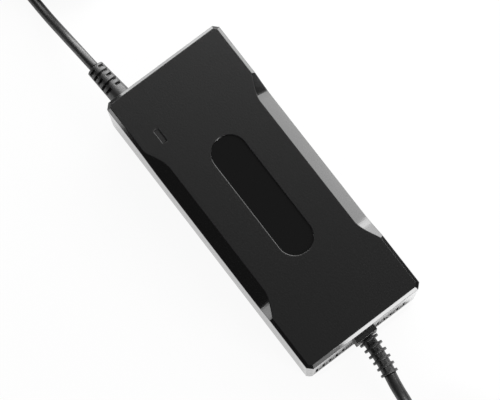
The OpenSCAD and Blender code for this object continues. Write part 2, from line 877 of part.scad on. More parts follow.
module mains_strain_relief() {
    fin_end = relief_turn * (1 - fin_t * 0.7 / relief_run);
    fin_first = relief_turn * fin_start / relief_run;
    color("#1c1c1c") {
        translate([seat_out, -collar_w / 2, split_z - collar_h / 2])
            cube([collar_t, collar_w, collar_h]);
        translate([seat_in, -neck_w / 2, split_z - neck_h / 2])
            cube([seat_out - seat_in, neck_w, neck_h]);
        translate([flange_x, -neck_w / 2 - flange_over, split_z - neck_h / 2 - flange_over])
            cube([flange_t, neck_w + flange_over * 2, neck_h + flange_over * 2]);
        relief_sweep() circle(d = relief_core_d);
        for (s = [-1, 1]) relief_sweep()
            translate([-relief_rib_w / 2, s > 0 ? 0 : -fin_tip_d / 2 + 0.3])
                square([relief_rib_w, fin_tip_d / 2 - 0.3]);
        for (i = [0 : fin_n - 1])
            along_relief(fin_first + i * (fin_end - fin_first) / (fin_n - 1))
                rotate([0, 90, 0]) cylinder(d = fin_d + i * (fin_tip_d - fin_d) / (fin_n - 1),
                    h = fin_t, center = true);
    }
}

dc_len = (dc_route[0][0] + end_x - seat_out) / cos(dc_lean);
dc_ring_t = dc_pitch * 0.5;
// A disc lies flat on the case, and the leaning base starts inside it
dc_disc_t = 1.6;
dc_base_from = 0.7;

// Diameter of the output strain relief at a distance past its solid base
function dc_taper(t) = dc_ring_d + (dc_tip_d - dc_ring_d) * t / (dc_row_n * dc_pitch);

module output_strain_relief() {
    sleeve = dc_base_l + dc_row_n * dc_pitch;
    color("#1c1c1c") {
        translate([-flange_x - flange_t, dc_y, split_z]) rotate([0, 90, 0])
            cylinder(d = dc_neck_d + flange_over * 2, h = flange_t);
        translate([-seat_out, dc_y, split_z]) rotate([0, -90, 0]) {
            translate([0, 0, seat_in - seat_out]) cylinder(d = dc_neck_d, h = seat_out - seat_in);
            cylinder(d = dc_base_d + 0.8, h = dc_disc_t);
        }
        translate([-seat_out, dc_y, split_z]) rotate(dc_lean) rotate([0, -90, 0]) {
            translate([0, 0, dc_base_from])
                cylinder(d1 = dc_base_d + 0.4, d2 = dc_base_d, h = dc_base_l - dc_base_from);
            translate([0, 0, dc_base_from]) cylinder(d = dc_core_d, h = dc_len - dc_base_from);
            translate([0, 0, sleeve]) cylinder(d = dc_tip_d, h = dc_len - sleeve);
            for (i = [1 : dc_row_n - 1])
                translate([0, 0, dc_base_l + i * dc_pitch - dc_ring_t / 2])
                    cylinder(d = dc_taper(i * dc_pitch), h = dc_ring_t);
            for (i = [0 : dc_row_n - 1]) intersection() {
                translate([0, 0, dc_base_l + i * dc_pitch])
                    cylinder(d = dc_taper((i + 0.5) * dc_pitch), h = dc_pitch);
                rotate(i % 2 * 90) cube([dc_base_d, dc_core_d * 0.5, sleeve * 2.2], center = true);
            }
        }
    }
}

// Cord tubes: rings of points round the route, square to its direction
function unit(v) = v / norm(v);
function heading(p, i) = unit(p[min(i + 1, len(p) - 1)] - p[max(i - 1, 0)]);

module cord_tube(points, d, sides = 12) {
    rings = [for (i = [0 : len(points) - 1])
        let (side = unit(cross(heading(points, i), [0, 0, 1])),
            up = cross(side, heading(points, i)))
        for (k = [0 : sides - 1]) points[i]
            + side * cos(360 * k / sides) * d / 2 + up * sin(360 * k / sides) * d / 2];
    last = (len(points) - 1) * sides;
    skins = [for (i = [0 : len(points) - 2], k = [0 : sides - 1])
        [i * sides + k, i * sides + (k + 1) % sides,
            (i + 1) * sides + (k + 1) % sides, (i + 1) * sides + k]];
    polyhedron(rings, concat(
        [[for (k = [sides - 1 : -1 : 0]) k]], skins, [[for (k = [0 : sides - 1]) last + k]]));
}

// A wound coil as one solid of its outer shape: two turns wide and three high
module coil_section(r, d, grow = 0) {
    translate([r - d - grow, tie_t - grow]) square([d * 2 + grow * 2, d * 3 + grow * 2]);
}

// The lead comes in behind the entry angle and goes out beyond the exit angle, and meets a flat
// face of the turn that it joins. The outer turn is missing where the lead runs beside it.
module coil(r, d, entry, exit) {
    difference() {
        rotate_extrude($fn = 96) coil_section(r, d);
        rotate(entry - merge_arc) rotate_extrude(angle = merge_arc, $fn = 96)
            translate([r, 0]) square([d + past, tie_t + d]);
        rotate(exit) rotate_extrude(angle = merge_arc, $fn = 96)
            translate([r, tie_t + d]) square([d + past, d]);
    }
}

module coil_ties(r, d) {
    for (a = [20, 160]) rotate(a - tie_turn / 2)
        rotate_extrude(angle = tie_turn, $fn = 96) difference() {
            coil_section(r, d, tie_t);
            coil_section(r, d);
        }
}

module at_mains_coil() {
    translate([end_x + mains_coil_x, 0, 0]) children();
}

// The output coil is wound the other way, so it is drawn mirrored
module at_dc_coil() {
    translate([-end_x - dc_coil_x, dc_coil_y, 0]) mirror([1, 0, 0]) children();
}

// Where the lead leaves a coil, with +Y along the lead
module at_mains_exit() {
    at_mains_coil() rotate(mains_exit) translate([mains_turn_r, 0, 0]) children();
}

module at_dc_exit() {
    at_dc_coil() rotate(dc_exit) translate([dc_turn_r, 0, 0]) children();
}

module mains_cord() {
    color("#222222") cord_tube([for (p = mains_route) p + [end_x, 0, 0]], mains_d);
}

module mains_cord_coil() {
    color("#222222") at_mains_coil() coil(mains_coil_r, mains_pitch, mains_entry, mains_exit);
}

module mains_cord_tail() {
    color("#222222") at_mains_exit() cord_tube([for (p = mains_tail) [0, p[0], p[1]]], mains_d);
}

module mains_coil_ties() {
    color("#303030") at_mains_coil() coil_ties(mains_coil_r, mains_pitch);
}

module output_cord() {
    color("#222222") cord_tube([for (p = dc_route) [-p[0] - end_x, p[1] + dc_y, p[2]]], dc_d);
}

module output_cord_coil() {
    color("#222222") at_dc_coil() coil(dc_coil_r, dc_coil_pitch, dc_entry, dc_exit);
}

module output_cord_tail() {
    color("#222222") at_dc_exit() cord_tube([for (p = dc_tail) [0, p[0], p[1]]], dc_d);
}

module output_coil_ties() {
    color("#303030") at_dc_coil() coil_ties(dc_coil_r, dc_coil_pitch);
}

plug_relief_l = 8;
grip_relief_l = 4;

module at_mains_plug() {
    at_mains_exit() translate([0, mains_tail_l, plug_t / 2]) rotate(90) children();
}

module at_dc_plug() {
    at_dc_exit() translate([0, dc_tail_l, barrel_grip_d / 2]) rotate([-90, 0, 0]) children();
}

module mains_plug_body() {
    back = plug_relief_l;
    face = back + plug_l;
    half = plug_w / 2;
    color("#1e1e1e") at_mains_plug() {
        rotate([0, 90, 0]) cylinder(d = mains_d + 1.6, h = back + 2);
        for (i = [0 : 2]) translate([i * 2.4 + 0.4, 0, 0]) rotate([0, 90, 0])
            cylinder(d = mains_d + 3 + i * 0.4, h = 1.4);
        difference() {
            intersection() {
                linear_extrude(plug_t, center = true) polygon([[back, -5.5], [back + 9, -9],
                    [back + 18, -half], [face - 1, -half], [face, -half + 2], [face, half - 2],
                    [face - 1, half], [back + 18, half], [back + 9, 9], [back, 5.5]]);
                rotate([90, 0, 0]) linear_extrude(plug_w + past, center = true)
                    polygon([[back, -5], [back + 12, -plug_t / 2], [face - 1, -plug_t / 2],
                        [face, 1 - plug_t / 2], [face, plug_t / 2 - 1],
                        [face - 1, plug_t / 2], [back + 12, plug_t / 2], [back, 5]]);
            }
            for (i = [0 : 3], s = [-1, 1]) translate([back + 20 + i * 3, s * half, 0])
                cylinder(d = 1.4, h = plug_t + past, center = true);
        }
    }
}

sleeve_l = 10;

module mains_plug_pins() {
    color("#c8c8c8") at_mains_plug() for (s = [-1, 1])
        translate([plug_relief_l + plug_l, s * pin_gap / 2, 0]) rotate([0, 90, 0]) {
            cylinder(d = pin_d - 1, h = sleeve_l);
            translate([0, 0, sleeve_l]) cylinder(d = pin_d, h = pin_l - sleeve_l - 1);
            translate([0, 0, pin_l - 1]) cylinder(d1 = pin_d, d2 = pin_d - 1.4, h = 1);
        }
}

module mains_pin_sleeves() {
    color("#26262a") at_mains_plug() for (s = [-1, 1])
        translate([plug_relief_l + plug_l, s * pin_gap / 2, 0]) rotate([0, 90, 0]) difference() {
            cylinder(d = pin_d, h = sleeve_l);
            translate([0, 0, -past]) cylinder(d = pin_d - 1, h = sleeve_l + past * 2);
        }
}

module output_plug_body() {
    r = barrel_grip_d / 2;
    end = grip_relief_l + barrel_grip_l;
    color("#1e1e1e") at_dc_plug() rotate_extrude() difference() {
        polygon([[0, 0], [dc_d / 2 + 0.8, 0], [dc_d / 2 + 1.1, grip_relief_l], [r - 1, grip_relief_l],
            [r, grip_relief_l + 3], [r, end - 1], [r - 1, end], [0, end]]);
        for (i = [0 : 5]) translate([r - 0.4, grip_relief_l + 5 + i * 2.4]) square([1, 1]);
    }
}

module output_plug_barrel() {
    base = grip_relief_l + barrel_grip_l;
    color("#c8c8c8") at_dc_plug() translate([0, 0, base]) difference() {
        union() {
            cylinder(d = barrel_d, h = barrel_l - 0.6);
            translate([0, 0, barrel_l - 0.6]) cylinder(d1 = barrel_d, d2 = barrel_d - 0.8, h = 0.6);
        }
        translate([0, 0, 0.8]) cylinder(d = barrel_bore, h = barrel_l);
    }
}

upper_shell();
lower_shell();
indicator_window();
red_led();
green_led();
led_spacer();
main_board();
insulating_sheet();
mains_fuse();
fuse_clips();
inrush_thermistor();
x_capacitor();
y_capacitor();
filter_choke_core();
filter_choke_windings();
bridge_rectifier();
bulk_capacitor();
primary_heat_sink();
power_transistor();
transformer_core();
transformer_bobbin();
transformer_winding();
secondary_heat_sink();
output_diode();
insulating_pads();
heat_sink_screws();
output_capacitors();
output_choke_core();
output_choke_winding();
control_chip();
optocoupler();
mains_wires();
output_wires();
board_screws();
case_screws();
mains_strain_relief();
output_strain_relief();
mains_cord();
mains_cord_coil();
mains_cord_tail();
mains_coil_ties();
mains_plug_body();
mains_plug_pins();
mains_pin_sleeves();
output_cord();
output_cord_coil();
output_cord_tail();
output_coil_ties();
output_plug_body();
output_plug_barrel();
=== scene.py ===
import math

import bpy
import numpy as np
from mathutils import Matrix


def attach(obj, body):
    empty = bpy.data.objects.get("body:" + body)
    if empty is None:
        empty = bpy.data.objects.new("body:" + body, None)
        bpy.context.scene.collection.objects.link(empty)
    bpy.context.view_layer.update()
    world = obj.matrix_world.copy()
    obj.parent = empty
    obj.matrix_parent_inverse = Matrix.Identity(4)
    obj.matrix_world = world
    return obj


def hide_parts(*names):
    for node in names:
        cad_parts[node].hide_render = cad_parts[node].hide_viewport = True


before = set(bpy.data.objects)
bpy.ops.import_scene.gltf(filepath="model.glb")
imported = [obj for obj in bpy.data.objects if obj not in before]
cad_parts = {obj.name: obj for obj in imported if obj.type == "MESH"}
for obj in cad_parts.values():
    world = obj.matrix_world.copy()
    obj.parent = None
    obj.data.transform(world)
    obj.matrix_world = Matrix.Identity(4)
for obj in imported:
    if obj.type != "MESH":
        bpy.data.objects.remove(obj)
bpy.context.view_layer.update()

# Camera
# The photograph looks steeply down on the charger from its mains end and its -Y side. The lens
# and the place come from a fit of the case's edges.
camera_data = bpy.data.cameras.new("camera")
camera = bpy.data.objects.new("camera", camera_data)
bpy.context.scene.collection.objects.link(camera)
bpy.context.scene.camera = camera
camera_data.sensor_width = 36
camera_data.lens = 184.0
camera_data.shift_x = -0.0249
camera_data.shift_y = 0.0055
# The columns are its right, up and back directions, and its place in metres
camera.matrix_world = Matrix(
    (
        (0.60659, -0.78123, 0.14741, 0.191785),
        (0.79498, 0.59764, -0.10404, -0.135357),
        (-0.00682, 0.18030, 0.98359, 1.299648),
        (0, 0, 0, 1),
    )
)


# Mains lead
# Round two-core lead with a black PVC sheath, extruded. It leaves the strain relief level, sinks
# to the table in one loose bend, and the rest is wound and tied beyond the picture's edge.
def linear(code):
    """The linear colour of an sRGB hex code: each channel under the sRGB transfer curve."""
    c = np.array([int(code[i : i + 2], 16) for i in (1, 3, 5)]) / 255
    return (*np.where(c <= 0.04045, c / 12.92, ((c + 0.055) / 1.055) ** 2.4).tolist(), 1.0)


def add_node(owner, kind, links=(), **settings):
    """Adds a shader node to a material or world. Settings name its inputs, with _ for a space, or
    its properties. Links pair an input's name or number with a socket or a value."""
    node = owner.node_tree.nodes.new(kind)
    for name, value in settings.items():
        spaced = name.replace("_", " ")
        if spaced in node.inputs:
            node.inputs[spaced].default_value = value
        else:
            setattr(node, name, value)
    for name, source in links:
        if isinstance(source, bpy.types.NodeSocket):
            owner.node_tree.links.new(node.inputs[name], source)
        else:
            node.inputs[name].default_value = source
    return node


def new_material(name, **principled):
    """A new material and its Principled BSDF, whose inputs take the given values."""
    material = bpy.data.materials.new(name)
    material.use_nodes = True
    shader = material.node_tree.nodes["Principled BSDF"]
    for key, value in principled.items():
        shader.inputs[key.replace("_", " ")].default_value = value
    return material, shader


def feed(material, shader, **nodes):
    """Links each node's first output to the input of that name, with _ for a space."""
    for key, node in nodes.items():
        material.node_tree.links.new(shader.inputs[key.replace("_", " ")], node.outputs[0])


def metres_along(points):
    """The distance from the first point to each point: the running sum of the steps' lengths."""
    return np.concatenate([[0], np.cumsum(np.linalg.norm(np.diff(points, axis=0), axis=1))])


def smooth_line(points, step):
    """Natural cubic spline through the points over their chord length, sampled every step."""
    p = np.asarray(points, float)
    s = metres_along(p)
    h = np.diff(s)
    n = len(p)
    system = np.eye(n)
    rows = np.arange(1, n - 1)
    system[rows, rows - 1] = h[:-1]
    system[rows, rows] = 2 * (h[:-1] + h[1:])
    system[rows, rows + 1] = h[1:]
    slope = np.diff(p, axis=0) / h[:, None]
    right = np.zeros_like(p)
    right[1:-1] = 6 * np.diff(slope, axis=0)
    m = np.linalg.solve(system, right)
    t = np.linspace(0, s[-1], max(2, round(s[-1] / step)) + 1)
    i = np.clip(np.searchsorted(s, t, side="right") - 1, 0, n - 2)
    a = (s[i + 1] - t)[:, None]
    b = (t - s[i])[:, None]
    w = h[i][:, None]
    return (
        m[i] * a**3 / (6 * w)
        + m[i + 1] * b**3 / (6 * w)
        + (p[i] / w - m[i] * w / 6) * a
        + (p[i + 1] / w - m[i + 1] * w / 6) * b
    )


def ease(x, low, high):
    """Smoothstep: 0 below low, 1 above high, 3t^2 - 2t^3 between them."""
    t = np.clip((x - low) / (high - low), 0, 1)
    return t * t * (3 - 2 * t)


def wound_coil(centre, entry, exit, outer, pitch, low, shifts, turn):
    """The lead's line in a coil, a point every 3 degrees from entry to exit. Its radius is the outer
    one, less a pitch between the shifts in and out, and its height rises and sinks by a pitch at
    the shifts up and down. A shift takes a quarter turn. turn is 1 for anticlockwise, or -1."""
    phi = np.arange(0, exit - entry + 0.01, 3.0)
    at = {name: ease(phi, start, start + 90) for name, start in shifts.items()}
    radius = outer - pitch * (at["in"] - at["out"])
    height = low + pitch * (at["up"] + at["up_again"] - at["down"])
    angle = np.radians(entry + phi)
    return np.stack(
        [
            centre[0] + turn * radius * np.cos(angle),
            centre[1] + radius * np.sin(angle),
            height,
        ],
        axis=1,
    )


def straight_on(start, angle, turn, tail):
    """The points of a tail, its distances and heights given in millimetres, from a start along a
    level direction."""
    tail = np.asarray(tail) / 1000
    return np.stack(
        [
            start[0] + turn * tail[:, 0] * math.cos(angle),
            start[1] + tail[:, 0] * math.sin(angle),
            tail[:, 1],
        ],
        axis=1,
    )


def mesh_piece(name, vertices, faces, smooth=True):
    """A mesh object at the origin from arrays of vertices and of faces."""
    mesh = bpy.data.meshes.new(name)
    mesh.from_pydata(np.asarray(vertices).tolist(), [], [list(map(int, f)) for f in faces])
    mesh.update()
    mesh.polygons.foreach_set("use_smooth", np.full(len(mesh.polygons), smooth))
    piece = bpy.data.objects.new(name, mesh)
    bpy.context.scene.collection.objects.link(piece)
    return piece


def loft(name, rings, along=None):
    """A closed skin over rings of points, an array of rings by points by axes. Neighbouring rings
    are joined by quads and the first and last are capped. Its UV map holds the turn round the ring
    and the metres along, which are those along the rings' first points where none are given."""
    n, k = rings.shape[:2]
    i, j = np.meshgrid(np.arange(n - 1), np.arange(k), indexing="ij")
    after = (j + 1) % k
    quads = np.stack([i * k + j, i * k + after, (i + 1) * k + after, (i + 1) * k + j], -1)
    last = (n - 1) * k
    ends = [list(range(k - 1, -1, -1)), list(range(last, last + k))]
    piece = mesh_piece(name, rings.reshape(-1, 3), quads.reshape(-1, 4).tolist() + ends)
    if along is None:
        along = metres_along(rings[:, 0])
    u = np.stack([j, j + 1, j + 1, j], -1) / k
    v = along[np.stack([i, i, i + 1, i + 1], -1)]
    flat = np.stack([u, v], -1).reshape(-1, 2)
    caps = np.zeros((2 * k, 2))
    layer = piece.data.uv_layers.new(name="skin")
    layer.data.foreach_set("uv", np.concatenate([flat, caps]).ravel())
    return piece


def tube(name, line, radius, sides=24):
    """A closed tube. Ring i stands square to the line: line_i + r (side cos a + up sin a)."""
    tangent = np.gradient(line, axis=0)
    tangent /= np.linalg.norm(tangent, axis=1)[:, None]
    side = np.cross(tangent, [0, 0, 1])
    side /= np.linalg.norm(side, axis=1)[:, None]
    up = np.cross(side, tangent)
    a = np.linspace(0, 2 * np.pi, sides, endpoint=False)
    rings = line[:, None] + radius * (
        side[:, None] * np.cos(a)[None, :, None] + up[:, None] * np.sin(a)[None, :, None]
    )
    return loft(name, rings, metres_along(line))


# Half the case's length, and the spacing of the points on a lead's route and on its tail
CASE_END = 0.085
ROUTE_STEP = 0.0012
TAIL_STEP = 0.0015
# The lead's thickness, and in its coil the distance from turn to turn, the radius of the outer
# turns and the height of the lowest
MAINS_D = 0.0065
MAINS_PITCH = 0.0066
MAINS_OUTER = 0.036
MAINS_LOW = 0.0043
# Where the lead enters and leaves the coil, in degrees round it, with five full turns between
MAINS_ENTRY = -118
MAINS_EXIT = -75
FULL_TURNS = 5 * 360
mains_route = np.array(
    [
        (23.5, -2, 18),
        (29.2, -3.07, 18),
        (34.9, -3.7, 17.2),
        (40.4, -4.2, 15.2),
        (45.4, -5.4, 12.5),
        (50.1, -7.4, 9.7),
        (54.4, -10.5, 7.2),
        (58.4, -14.3, 5.3),
        (62.3, -18.4, 4.4),
        (66.4, -22.6, 4.3),
        (70.9, -26.1, 4.3),
        (75.9, -29, 4.3),
        (81.1, -31.79, 4.3),
    ]
) / 1000 + (CASE_END, 0, 0)
mains_coil_centre = (CASE_END + 0.098, 0)
mains_coil = wound_coil(
    centre=mains_coil_centre,
    entry=MAINS_ENTRY,
    exit=MAINS_EXIT + FULL_TURNS,
    outer=MAINS_OUTER,
    pitch=MAINS_PITCH,
    low=MAINS_LOW,
    shifts={"in": 270, "up": 580, "up_again": 940, "out": 1200, "down": 1530},
    turn=1,
)
mains_tail_heading = math.radians(MAINS_EXIT + 90)
mains_tail = straight_on(
    mains_coil[-1],
    mains_tail_heading,
    1,
    [(0, 10.9), (8, 10.9), (16, 10.9), (22, 10.2), (27, 8.7), (32, 7.2), (36, 6.8), (40, 6.8)],
)
mains_line = np.concatenate(
    [
        smooth_line(mains_route, ROUTE_STEP)[:-1],
        mains_coil,
        smooth_line(mains_tail, TAIL_STEP)[1:],
    ]
)
mains_lead = tube("mains_lead", mains_line, MAINS_D / 2)

# PVC sheath, extruded: satin black, with fine drawn lines along it, 0.3 mm apart round the lead
sheath, shader = new_material(
    "pvc_sheath_extruded", Base_Color=linear("#0f0f0f"), IOR=1.52, Specular_IOR_Level=0.75
)
uv = add_node(sheath, "ShaderNodeTexCoord")
stretch = add_node(sheath, "ShaderNodeMapping", [("Vector", uv.outputs["UV"])], Scale=(60, 9, 1))
drawn = add_node(sheath, "ShaderNodeTexNoise", [("Vector", stretch.outputs[0])], Scale=1, Detail=3)
rough = add_node(
    sheath, "ShaderNodeMapRange", [("Value", drawn.outputs["Fac"])], To_Min=0.40, To_Max=0.43
)
bump = add_node(
    sheath, "ShaderNodeBump", [("Height", drawn.outputs["Fac"])], Strength=0.005, Distance=0.00003
)
feed(sheath, shader, Roughness=rough, Normal=bump)
mains_lead.data.materials.append(sheath)
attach(mains_lead, "root")
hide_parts("mains_cord", "mains_cord_coil", "mains_cord_tail")

# Output lead
# Round two-core lead, thinner, with the same extruded black sheath. Its coil is wound the other
# way and lies beyond the picture's upper left edge.
# The same sizes and angles for this lead
OUTPUT_D = 0.0054
OUTPUT_PITCH = 0.0055
OUTPUT_OUTER = 0.03025
OUTPUT_LOW = 0.00375
OUTPUT_ENTRY = -90
OUTPUT_EXIT = -86
# Where the lead leaves the end wall, across the case
OUTPUT_Y = -0.0234
output_route = np.array(
    [
        (24, -2.13, 18),
        (30, -2.66, 18),
        (37, -3.1, 16.8),
        (45, -3.5, 14),
        (53, -3.8, 10.6),
        (61, -4.1, 7.4),
        (70, -4.3, 5),
        (80, -4.5, 3.9),
        (90, -4.6, 3.75),
        (100, -4.6, 3.75),
    ]
) / 1000 * (-1, 1, 1) + (-CASE_END, OUTPUT_Y, 0)
# The route ends where the coil's outer turn begins
output_coil_centre = (-CASE_END - 0.1, OUTPUT_Y - 0.0046 + OUTPUT_OUTER)
output_coil = wound_coil(
    centre=output_coil_centre,
    entry=OUTPUT_ENTRY,
    exit=OUTPUT_EXIT + FULL_TURNS,
    outer=OUTPUT_OUTER,
    pitch=OUTPUT_PITCH,
    low=OUTPUT_LOW,
    shifts={"in": 270, "up": 600, "up_again": 960, "out": 1230, "down": 1560},
    turn=-1,
)
output_tail = straight_on(
    output_coil[-1],
    math.radians(OUTPUT_EXIT + 90),
    -1,
    [(0, 9.25), (7, 9.25), (13, 9.25), (18, 8.6), (23, 7), (27, 5.7), (31, 5), (34, 5)],
)
output_line = np.concatenate(
    [
        smooth_line(output_route, ROUTE_STEP)[:-1],
        output_coil,
        smooth_line(output_tail, TAIL_STEP)[1:],
    ]
)
output_lead = tube("output_lead", output_line, OUTPUT_D / 2)
output_lead.data.materials.append(sheath)
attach(output_lead, "root")
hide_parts("output_cord", "output_cord_coil", "output_cord_tail")

# Table and light
# A white table that the picture burns out to plain white, with only a trace of the charger's
# shadow. Soft lamps hang over the output end. Panels stand beyond the picture on every side,
# where the bevels, the scoops, the walls and the leads mirror them.
TABLE_HALF = 4
# A little under the charger, so that no two faces share a plane
TABLE_Z = -0.0002
table_corners = [(-1, -1), (1, -1), (1, 1), (-1, 1)]
table = mesh_piece(
    "table",
    [(x * TABLE_HALF, y * TABLE_HALF, TABLE_Z) for x, y in table_corners],
    [(0, 1, 2, 3)],
    smooth=False,
)
# White laminate: the camera sees 94 parts in 100 plain white and the rest its shaded surface
laminate, shader = new_material("white_table", Roughness=0.9)
rays = add_node(laminate, "ShaderNodeLightPath")
share = add_node(
    laminate,
    "ShaderNodeMath",
    [(0, rays.outputs["Is Camera Ray"]), (1, 0.94)],
    operation="MULTIPLY",
)
white = add_node(laminate, "ShaderNodeEmission", Strength=1.0)
seen = add_node(
    laminate,
    "ShaderNodeMixShader",
    [(0, share.outputs[0]), (1, shader.outputs[0]), (2, white.outputs[0])],
)
# What the charger mirrors of it is a light grey that glows. Beyond the mains end wall, a thin strip
# at the wall's foot is painted black, in the glow and in the colour alike: a painted shadow, laid
# where the floor's openness to the sky is near a half
mirrored = add_node(
    laminate,
    "ShaderNodeMath",
    [(0, rays.outputs["Is Glossy Ray"]), (1, rays.outputs["Is Transmission Ray"])],
    operation="MAXIMUM",
)
# Painted shadow: the occlusion close to the foot of the mains end wall is mapped to black
foot = add_node(laminate, "ShaderNodeAmbientOcclusion", Distance=0.012, samples=32)
outside_painted_shadow = add_node(
    laminate, "ShaderNodeMapRange", [("Value", foot.outputs["AO"])], From_Min=0.565, From_Max=0.61
)
floor_place = add_node(laminate, "ShaderNodeTexCoord")
floor_axes = add_node(
    laminate, "ShaderNodeSeparateXYZ", [("Vector", floor_place.outputs["Object"])]
)
elsewhere = add_node(
    laminate,
    "ShaderNodeMath",
    [(0, floor_axes.outputs["X"]), (1, CASE_END)],
    operation="LESS_THAN",
)
# 1 outside the painted shadow, 0 in its black strip at the foot of the mains end wall
clear = add_node(
    laminate,
    "ShaderNodeMath",
    [(0, outside_painted_shadow.outputs[0]), (1, elsewhere.outputs[0])],
    operation="MAXIMUM",
)
tone = add_node(
    laminate,
    "ShaderNodeMixRGB",
    [("Fac", mirrored.outputs[0])],
    Color1=linear("#f4f4f4"),
    Color2=linear("#b4b4b4"),
)
# The table's colour, with the painted shadow in black
tone_under_painted_shadow = add_node(
    laminate,
    "ShaderNodeMixRGB",
    [("Fac", clear.outputs[0]), ("Color2", tone.outputs[0])],
    Color1=linear("#000000"),
)
feed(laminate, shader, Base_Color=tone_under_painted_shadow)
# The glow, with the same painted shadow
strength = add_node(
    laminate,
    "ShaderNodeMath",
    [(0, mirrored.outputs[0]), (1, clear.outputs[0])],
    operation="MULTIPLY",
)
glow = add_node(
    laminate,
    "ShaderNodeEmission",
    [("Strength", strength.outputs[0])],
    Color=linear("#dadada"),
)
total = add_node(laminate, "ShaderNodeAddShader", [(0, seen.outputs[0]), (1, glow.outputs[0])])
feed(laminate, laminate.node_tree.nodes["Material Output"], Surface=total)
table.data.materials.append(laminate)

# The room is dim, and a plain pale grey where the camera looks past the table
world = bpy.data.worlds.new("room")
world.use_nodes = True
bpy.context.scene.world = world
dim = world.node_tree.nodes["Background"]
dim.inputs["Color"].default_value = (1, 1, 1, 1)
dim.inputs["Strength"].default_value = 0.08
bright = add_node(world, "ShaderNodeBackground", Strength=1.0)
eye = add_node(world, "ShaderNodeLightPath")
backdrop = add_node(
    world,
    "ShaderNodeMixShader",
    [(0, eye.outputs["Is Camera Ray"]), (1, dim.outputs[0]), (2, bright.outputs[0])],
)
feed(world, world.node_tree.nodes["World Output"], Surface=backdrop)
bpy.context.scene.view_settings.view_transform = "Standard"


def panel(name, place, target, size, power):
    """A soft rectangular lamp that faces a point and that no camera sees."""
    data = bpy.data.lights.new(name, "AREA")
    data.shape = "RECTANGLE"
    data.size, data.size_y = size
    data.energy = power
    lamp = bpy.data.objects.new(name, data)
    back = np.array(place, float) - np.array(target, float)
    back /= np.linalg.norm(back)
    side = np.cross([0, 0, 1], back)
    side /= np.linalg.norm(side)
    up = np.cross(back, side)
    turn = Matrix(np.stack([side, up, back], 1).tolist()).to_4x4()
    lamp.matrix_world = Matrix.Translation(place) @ turn
    lamp.visible_camera = False
    bpy.context.scene.collection.objects.link(lamp)


# Each lamp's place, the point it faces and its two sides in metres, and its power in watts
for name, place, target, size, power in (
    ("overhead", (-0.75, 0.22, 0.86), (-0.03, 0, 0.04), (0.42, 0.42), 2.9),
    ("lead_light", (-0.42, 0.42, 0.74), (-0.12, 0, 0.02), (0.45, 0.34), 1.65),
    ("softbox", (-0.46, 0.6, 0.4), (-0.46, 0, 0.4), (0.9, 0.84), 11),
    ("far_low", (-0.155, 0.28, 0.02), (-0.155, 0, 0.02), (0.35, 0.04), 0.2),
    ("output_low", (-0.146, 0.02, 0.028), (0, 0.02, 0.028), (0.08, 0.014), 0.02),
    ("mains_side", (0.40, 0.08, 0.14), (0.08, 0.02, 0.04), (0.13, 0.22), 1.35),
    ("mains_fill", (0.40, -0.02, 0.14), (0.08, -0.02, 0.04), (0.07, 0.22), 0.12),
    ("mains_strip", (0.42, 0.0, 0.36), (0.08, 0, 0.04), (0.3, 0.02), 0.23),
    ("far_strip", (0.12, 0.5, 0.42), (0.05, 0, 0.04), (0.4, 0.02), 0.3),
    ("near_patch", (-0.18, -0.3, 0.055), (0.05, -0.033, 0.038), (0.12, 0.05), 0.08),
):
    panel(name, place, target, size, power)

# A black card beyond the picture keeps the bright table out of the bevel at the mains end
card = mesh_piece(
    "black_card",
    [(0.022, 0.3, 0), (0.32, 0.3, 0), (0.32, 0.3, 0.1), (0.022, 0.3, 0.1)],
    [(0, 1, 2, 3)],
    smooth=False,
)
card.visible_camera = False
card.visible_shadow = False
card_black, shader = new_material("black_card", Base_Color=linear("#050505"), Roughness=1.0)
card.data.materials.append(card_black)

# Case
# Two shells moulded in black ABS, screwed together from below. The mould leaves a fine spark
# texture on the flat top, and the walls, bevels, scoops and sunken panel are polished.

# The dull top is all that lies above this height
FLAT_TOP = 0.04198
# ABS, moulded: black, with a dull grain on the top, drawn 1 mm wide, coarser than the real one
abs_case, shader = new_material("abs_moulded", Base_Color=linear("#121212"), IOR=1.54)
place = add_node(abs_case, "ShaderNodeTexCoord")
axes = add_node(abs_case, "ShaderNodeSeparateXYZ", [("Vector", place.outputs["Object"])])
top = add_node(
    abs_case, "ShaderNodeMath", [(0, axes.outputs["Z"]), (1, FLAT_TOP)], operation="GREATER_THAN"
)
grain = add_node(
    abs_case, "ShaderNodeTexNoise", [("Vector", place.outputs["Object"])], Scale=1000, Detail=3
)
flow = add_node(
    abs_case, "ShaderNodeTexNoise", [("Vector", place.outputs["Object"])], Scale=30, Detail=3
)
polished = add_node(
    abs_case, "ShaderNodeMapRange", [("Value", flow.outputs["Fac"])], To_Min=0.05, To_Max=0.12
)
spark = add_node(
    abs_case, "ShaderNodeMapRange", [("Value", grain.outputs["Fac"])], To_Min=0.3, To_Max=0.37
)
rough = add_node(
    abs_case,
    "ShaderNodeMix",
    [("Factor", top.outputs[0]), ("A", polished.outputs[0]), ("B", spark.outputs[0])],
)
depth = add_node(
    abs_case, "ShaderNodeMapRange", [("Value", top.outputs[0])], To_Min=0.006, To_Max=0.45
)
bump = add_node(
    abs_case,
    "ShaderNodeBump",
    [("Height", grain.outputs["Fac"]), ("Strength", depth.outputs[0])],
    Distance=0.0001,
)
# Each moulded edge is rounded by half a millimetre, and catches the light
edge = add_node(
    abs_case, "ShaderNodeBevel", [("Normal", bump.outputs[0])], Radius=0.0005, samples=8
)
feed(abs_case, shader, Roughness=rough, Normal=edge)


def dress(material, *names):
    """Gives CAD nodes a material in place of their own."""
    for name in names:
        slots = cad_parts[name].data.materials
        slots.clear()
        slots.append(material)


dress(abs_case, "upper_shell", "lower_shell")


